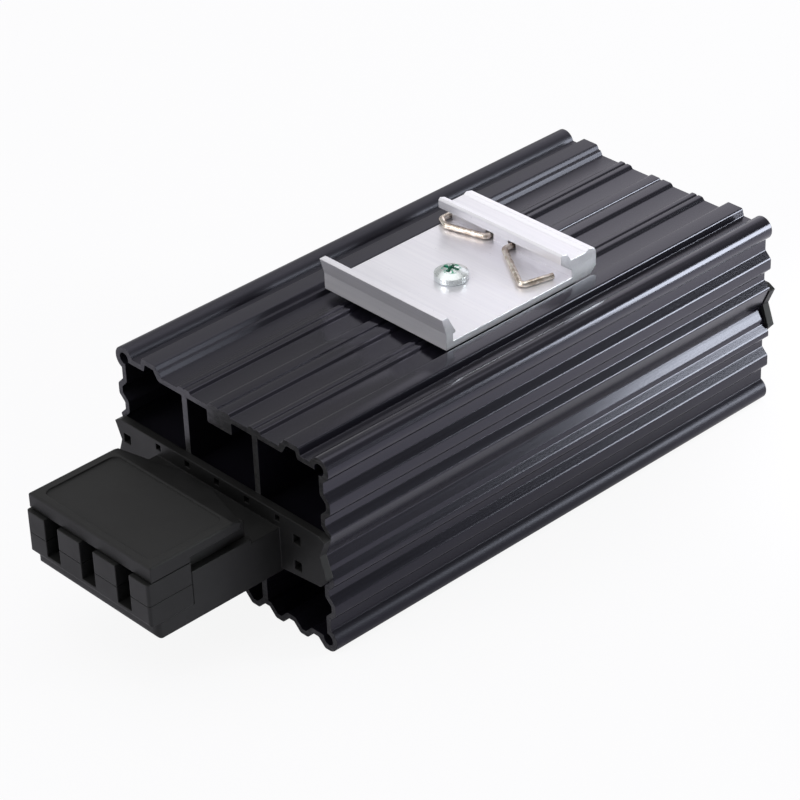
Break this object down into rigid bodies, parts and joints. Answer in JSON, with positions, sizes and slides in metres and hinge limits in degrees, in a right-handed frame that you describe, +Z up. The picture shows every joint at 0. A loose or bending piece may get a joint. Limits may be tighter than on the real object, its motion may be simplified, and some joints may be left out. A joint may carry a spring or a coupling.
{
  "type": "enclosure heater",
  "caption": "Compact enclosure heater: fluted, hollow anodised aluminium extrusion with a sprung rail clip on top and a black screwless terminal housing at the front end.",
  "frame": {"origin": "on the central underside land of the extrusion, at mid-width and at the extrusion's mid-length", "axes": "+Y along the extrusion from the terminal end to the rear cap, +Z up towards the rail clip, +X across the width"},
  "size_m": [0.07, 0.1814, 0.0582],
  "materials": {
    "anodised_profile": "black anodised, satin",
    "clip_aluminium": "satin",
    "spring_steel": "drawn wire",
    "zinc_steel": "zinc plated",
    "terminal_plastic": "fine matt",
    "cap_plastic": "fine matt",
    "ceramic": "fired",
    "frame_plastic": "matt",
    "contact_aluminium": "rolled",
    "insulation_film": "smooth",
    "terminal_metal": "nickel plated"
  },
  "bodies": {
    "root": {"heater_profile": "anodised_profile", "rail_clip": "clip_aluminium", "clip_spring_left": "spring_steel", "clip_spring_right": "spring_steel", "clip_screw": "zinc_steel", "terminal_housing": "terminal_plastic", "lower_terminal_block": "terminal_plastic", "upper_terminal_block": "terminal_plastic", "terminal_lid": "terminal_plastic", "rear_end_cap": "cap_plastic", "ptc_element_1": "ceramic", "ptc_element_2": "ceramic", "ptc_element_3": "ceramic", "ptc_element_4": "ceramic", "ptc_element_5": "ceramic", "element_frame": "frame_plastic", "contact_plate_upper": "contact_aluminium", "contact_plate_lower": "contact_aluminium", "insulation_sleeve": "insulation_film", "clamp_live": "terminal_metal", "clamp_earth": "terminal_metal", "clamp_neutral": "terminal_metal", "earth_contact": "terminal_metal"}
  },
  "joints": []
}
